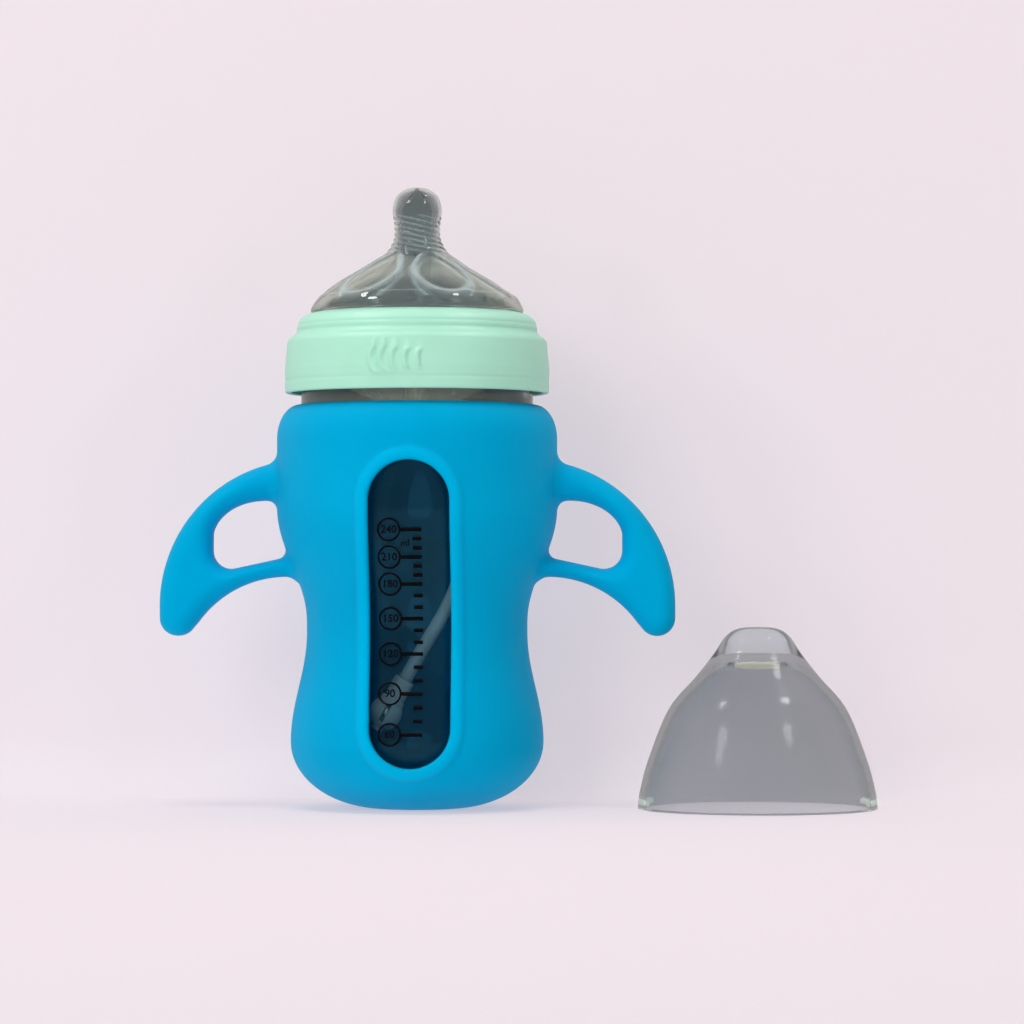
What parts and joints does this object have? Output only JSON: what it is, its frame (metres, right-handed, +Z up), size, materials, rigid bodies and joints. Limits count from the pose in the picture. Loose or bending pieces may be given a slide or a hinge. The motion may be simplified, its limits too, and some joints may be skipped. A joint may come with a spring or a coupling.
{
  "type": "baby bottle with handles",
  "caption": "Wide-neck baby bottle with a two-handled silicone sleeve, screw collar, soft teat, weighted straw and a clear cap standing beside it.",
  "frame": {"origin": "centre of the flat underside that the bottle stands on", "axes": "+Z up along the bottle's axis to the teat; -Y is the side with the scale window; the handles lie along +X and -X; the loose cap stands at +X"},
  "size_m": [0.2043, 0.0807, 0.1766],
  "materials": {
    "sleeve_silicone": "soft matte silicone",
    "bottle_glass": "clear, smooth",
    "collar_plastic": "satin moulded plastic",
    "teat_silicone": "clear silicone",
    "adapter_plastic": "clear moulded plastic",
    "straw_silicone": "translucent silicone",
    "weight_plastic": "white moulded plastic",
    "ball_steel": "polished steel",
    "cap_plastic": "clear moulded plastic"
  },
  "bodies": {
    "bottle": {"bottle": "bottle_glass", "sleeve": "sleeve_silicone"},
    "teat": {"teat": "teat_silicone", "straw_adapter": "adapter_plastic"},
    "collar": {"collar": "collar_plastic"},
    "straw": {"straw": "straw_silicone", "straw_weight": "weight_plastic", "weight_ball": "ball_steel"},
    "cap": {"cap": "cap_plastic"}
  },
  "joints": [
    {"name": "teat_lift", "type": "slide", "parent": "bottle", "child": "teat", "axis": [0, 0, 1], "range_m": [0, 0.01]},
    {"name": "collar_turn", "type": "hinge", "parent": "teat", "child": "collar", "pos_m": [0, 0, 0.13], "axis": [0, 0, 1], "range_deg": [0, 600]},
    {"name": "straw_swing", "type": "hinge", "parent": "teat", "child": "straw", "pos_m": [0, 0, 0.1255], "axis": [0, -1, 0], "range_deg": [-5, 12]},
    {"name": "cap_lift", "type": "slide", "parent": "bottle", "child": "cap", "axis": [0.3162, 0, 0.9487], "range_m": [0, 0.2]}
  ],
  "couplings": [
    {"joint": "teat_lift", "follows": "collar_turn", "m_per_rad": 0.00095492}
  ]
}
